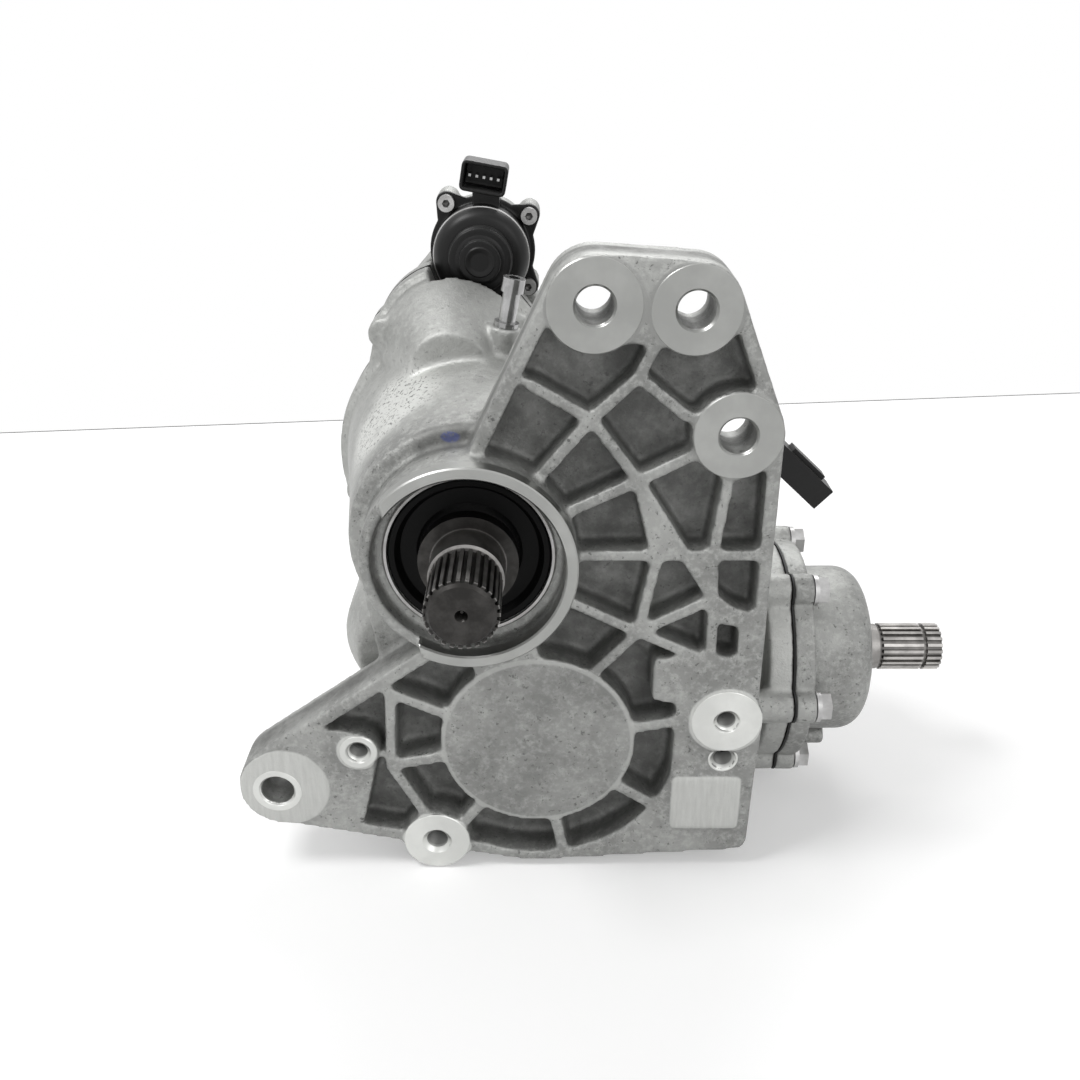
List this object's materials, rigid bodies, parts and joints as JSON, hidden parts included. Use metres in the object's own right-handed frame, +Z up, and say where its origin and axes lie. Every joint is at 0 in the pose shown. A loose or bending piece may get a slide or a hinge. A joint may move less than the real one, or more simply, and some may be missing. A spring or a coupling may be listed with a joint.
{
  "type": "front differential",
  "caption": "Front axle drive unit: ribbed cast housing with splined stub shaft, side pinion shaft, bevel and transfer gears, differential and actuated disconnect.",
  "frame": {"origin": "on the axle axis, in the plane of the front mounting faces", "axes": "+X towards the pinion shaft, +Y from the front face to the rear cover along the axle, +Z up"},
  "size_m": [0.344, 0.244, 0.3071],
  "materials": {
    "cast_aluminium": "as-cast with machined faces",
    "gasket": "black sealant",
    "zinc_steel": "zinc plated",
    "bearing_steel": "ground",
    "seal_rubber": "matt",
    "ground_steel": "ground",
    "black_plastic": "moulded, slight gloss",
    "plated_pipe": "bright plated",
    "dark_steel": "machined, oiled"
  },
  "bodies": {
    "housing": {"main_housing": "cast_aluminium", "rear_gasket": "gasket", "rear_cover": "cast_aluminium", "clutch_housing": "cast_aluminium", "pinion_gasket": "gasket", "pinion_cover": "cast_aluminium", "rear_bolts": "zinc_steel", "pinion_cover_bolts": "zinc_steel", "case_front_bearing_outer_race": "bearing_steel", "case_rear_bearing_outer_race": "bearing_steel", "counter_front_bearing_outer_race": "bearing_steel", "counter_rear_bearing_outer_race": "bearing_steel", "pinion_head_bearing_outer_race": "bearing_steel", "pinion_tail_bearing_outer_race": "bearing_steel", "output_bearing_outer_race": "bearing_steel", "front_axle_seal": "seal_rubber", "rear_axle_seal": "seal_rubber", "pinion_seal": "seal_rubber", "fork_rail": "ground_steel", "actuator_body": "black_plastic", "connector_pins": "zinc_steel", "actuator_screws": "zinc_steel", "breather_pipe": "plated_pipe", "oil_plugs": "zinc_steel", "connector_bracket": "zinc_steel", "wiring_connector": "black_plastic"},
    "differential_case": {"diff_case": "dark_steel", "ring_gear": "dark_steel", "ring_gear_bolts": "dark_steel", "cross_pin": "ground_steel", "case_front_bearing_inner_race": "bearing_steel", "case_front_bearing_rollers": "bearing_steel", "case_rear_bearing_inner_race": "bearing_steel", "case_rear_bearing_rollers": "bearing_steel"},
    "counter": {"counter_shaft": "dark_steel", "counter_gear": "dark_steel", "bevel_ring_gear": "dark_steel", "bevel_ring_bolts": "dark_steel", "counter_front_bearing_inner_race": "bearing_steel", "counter_front_bearing_rollers": "bearing_steel", "counter_rear_bearing_inner_race": "bearing_steel", "counter_rear_bearing_rollers": "bearing_steel"},
    "pinion": {"pinion_shaft": "dark_steel", "pinion_spacer": "ground_steel", "pinion_head_bearing_inner_race": "bearing_steel", "pinion_head_bearing_rollers": "bearing_steel", "pinion_tail_bearing_inner_race": "bearing_steel", "pinion_tail_bearing_rollers": "bearing_steel"},
    "front_output": {"side_gear_front": "dark_steel", "front_stub_shaft": "dark_steel"},
    "upper_spider": {"spider_gear_upper": "dark_steel"},
    "lower_spider": {"spider_gear_lower": "dark_steel"},
    "rear_output": {"side_gear_rear": "dark_steel", "inner_dog_shaft": "dark_steel", "rear_output_shaft": "dark_steel", "output_bearing_inner_race": "bearing_steel", "output_bearing_rollers": "bearing_steel"},
    "sleeve": {"shift_sleeve": "ground_steel"},
    "fork": {"shift_fork": "ground_steel"},
    "screw": {"lead_screw": "ground_steel"}
  },
  "joints": [
    {"name": "case_turn", "type": "hinge", "parent": "housing", "child": "differential_case", "pos_m": [0, 0.078, 0], "axis": [0, 1, 0], "continuous": true},
    {"name": "counter_turn", "type": "hinge", "parent": "housing", "child": "counter", "pos_m": [0.0283, 0.06, -0.0933], "axis": [0, 1, 0], "continuous": true},
    {"name": "pinion_turn", "type": "hinge", "parent": "housing", "child": "pinion", "pos_m": [0.1, 0.0856, -0.0933], "axis": [1, 0, 0], "continuous": true},
    {"name": "front_output_turn", "type": "hinge", "parent": "differential_case", "child": "front_output", "pos_m": [0, 0.04, 0], "axis": [0, 1, 0], "continuous": true},
    {"name": "upper_spider_turn", "type": "hinge", "parent": "differential_case", "child": "upper_spider", "pos_m": [0, 0.078, 0], "axis": [0, 0, 1], "continuous": true},
    {"name": "lower_spider_turn", "type": "hinge", "parent": "differential_case", "child": "lower_spider", "pos_m": [0, 0.078, 0], "axis": [0, 0, 1], "continuous": true},
    {"name": "rear_output_turn", "type": "hinge", "parent": "differential_case", "child": "rear_output", "pos_m": [0, 0.12, 0], "axis": [0, 1, 0], "continuous": true},
    {"name": "fork_slide", "type": "slide", "parent": "housing", "child": "fork", "axis": [0, 1, 0], "range_m": [0, 0.008]},
    {"name": "sleeve_slide", "type": "slide", "parent": "rear_output", "child": "sleeve", "axis": [0, 1, 0], "range_m": [0, 0.008]},
    {"name": "screw_turn", "type": "hinge", "parent": "housing", "child": "screw", "pos_m": [0.001, 0.16, 0.098], "axis": [0, 1, 0], "range_deg": [0, 720]}
  ],
  "couplings": [
    {"joint": "counter_turn", "follows": "case_turn", "ratio": -0.85714},
    {"joint": "pinion_turn", "follows": "case_turn", "ratio": -1.8857},
    {"joint": "upper_spider_turn", "follows": "front_output_turn", "ratio": 1.6},
    {"joint": "lower_spider_turn", "follows": "front_output_turn", "ratio": -1.6},
    {"joint": "rear_output_turn", "follows": "front_output_turn", "ratio": -1},
    {"joint": "sleeve_slide", "follows": "fork_slide", "ratio": 1},
    {"joint": "screw_turn", "follows": "fork_slide", "rad_per_m": 1570.8}
  ]
}
